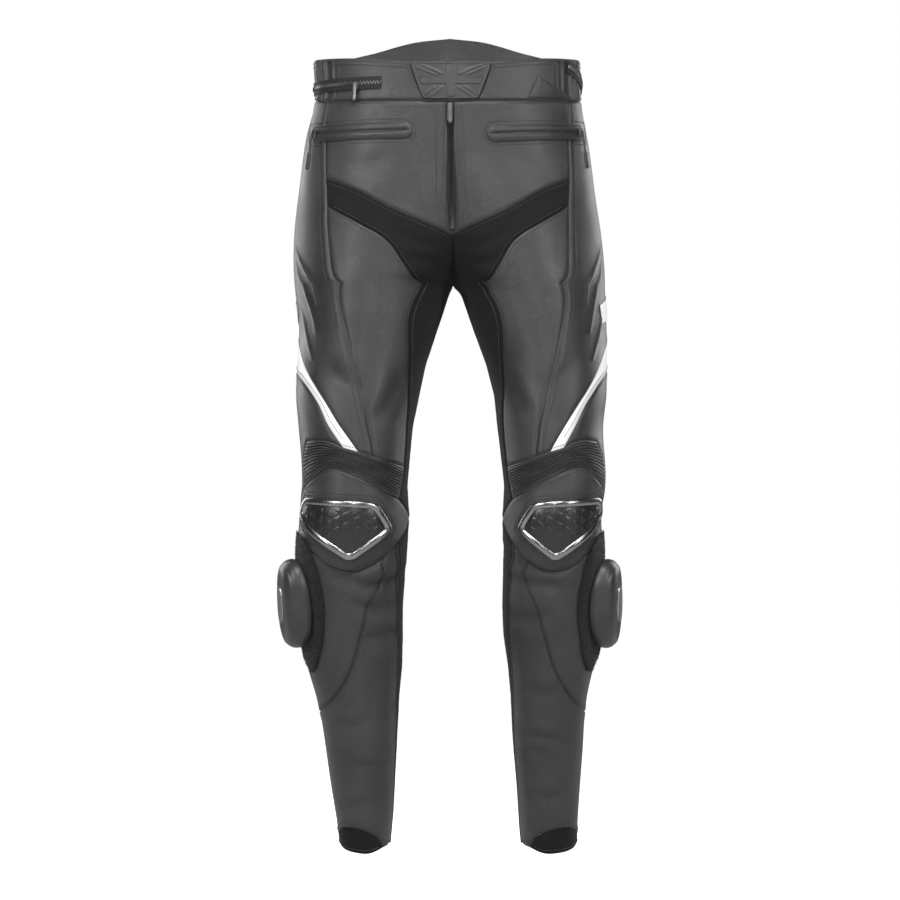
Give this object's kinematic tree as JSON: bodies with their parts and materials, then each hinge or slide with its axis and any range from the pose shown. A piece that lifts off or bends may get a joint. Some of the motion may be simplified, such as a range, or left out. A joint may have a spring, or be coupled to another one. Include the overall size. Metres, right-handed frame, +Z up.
{
  "type": "leather riding trousers",
  "caption": "Leather riding trousers with knee plates, knee slider blocks, white side stripes and zips, empty and standing in worn form.",
  "frame": {"origin": "middle of the waist opening, level with its upper edge at the sides", "axes": "+Z up along the body, -Y to the front, -X to the wearer's right"},
  "size_m": [0.4457, 0.2589, 1.072],
  "materials": {
    "leather": "matt grain",
    "smooth_leather": "smooth, half matt",
    "white_leather": "smooth, half matt",
    "stretch_fabric": "matt woven",
    "loop_fabric": "fuzzy loop",
    "zip_tape": "woven tape",
    "metal": "polished",
    "gloss_plate": "gloss",
    "slider_plastic": "matt moulded",
    "pull_grip": "matt moulded"
  },
  "bodies": {
    "root": {"belt_tab": "leather", "connection_slider": "metal", "connection_zip": "zip_tape", "fly_slider": "metal", "fly_zip": "zip_tape", "left_connection_flap": "leather", "waistband": "leather", "left_back_panel": "leather", "left_calf_panel": "leather", "left_calf_slider": "metal", "left_calf_stretch": "stretch_fabric", "left_calf_zip": "zip_tape", "left_front_hip": "leather", "left_front_thigh": "leather", "left_knee_frame": "metal", "left_knee_insert": "gloss_plate", "left_knee_panel": "leather", "left_knee_slider": "slider_plastic", "left_loop_patch": "loop_fabric", "left_pocket_slider": "metal", "left_pocket_welt": "leather", "left_rib_panel": "leather", "left_shin_panel": "leather", "left_shin_side": "leather", "left_side_lower": "smooth_leather", "left_side_panel": "smooth_leather", "left_slider_plate": "metal", "left_stretch_panel": "stretch_fabric", "left_toe_patch": "stretch_fabric", "left_white_stripe": "white_leather", "right_back_panel": "leather", "right_calf_panel": "leather", "right_calf_slider": "metal", "right_calf_stretch": "stretch_fabric", "right_calf_zip": "zip_tape", "right_front_hip": "leather", "right_front_thigh": "leather", "right_knee_frame": "metal", "right_knee_insert": "gloss_plate", "right_knee_panel": "leather", "right_knee_slider": "slider_plastic", "right_loop_patch": "loop_fabric", "right_pocket_slider": "metal", "right_pocket_welt": "leather", "right_rib_panel": "leather", "right_shin_panel": "leather", "right_shin_side": "leather", "right_side_lower": "smooth_leather", "right_side_panel": "smooth_leather", "right_slider_plate": "metal", "right_stretch_panel": "stretch_fabric", "right_toe_patch": "stretch_fabric", "right_white_stripe": "white_leather"},
    "right_calf_pull": {"right_calf_pull": "metal"},
    "left_calf_pull": {"left_calf_pull": "metal"},
    "right_pocket_pull": {"right_pocket_pull": "pull_grip"},
    "left_pocket_pull": {"left_pocket_pull": "pull_grip"},
    "fly_pull": {"fly_pull": "metal"},
    "connection_pull": {"connection_pull": "metal"}
  },
  "joints": [
    {"name": "right_calf_pull_hinge", "type": "hinge", "parent": "root", "child": "right_calf_pull", "pos_m": [-0.09978, 0.08687, -0.99187], "axis": [0.9351, -0.3544, 0], "range_deg": [0, 110]},
    {"name": "left_calf_pull_hinge", "type": "hinge", "parent": "root", "child": "left_calf_pull", "pos_m": [0.11683, 0.0869, -0.99191], "axis": [0.9401, 0.3408, 0], "range_deg": [0, 110]},
    {"name": "right_pocket_pull_hinge", "type": "hinge", "parent": "root", "child": "right_pocket_pull", "pos_m": [-0.17754, -0.04185, -0.097], "axis": [-0.6002, 0.7998, 0], "range_deg": [0, 120]},
    {"name": "left_pocket_pull_hinge", "type": "hinge", "parent": "root", "child": "left_pocket_pull", "pos_m": [0.17079, -0.03936, -0.09446], "axis": [-0.5547, -0.8321, 0], "range_deg": [0, 120]},
    {"name": "fly_pull_hinge", "type": "hinge", "parent": "root", "child": "fly_pull", "pos_m": [0, -0.10145, -0.066], "axis": [-1, 0, 0], "range_deg": [0, 120]},
    {"name": "connection_pull_hinge", "type": "hinge", "parent": "root", "child": "connection_pull", "pos_m": [-0.12214, -0.07719, -0.03968], "axis": [-0.8869, 0.462, 0], "range_deg": [0, 120]}
  ]
}
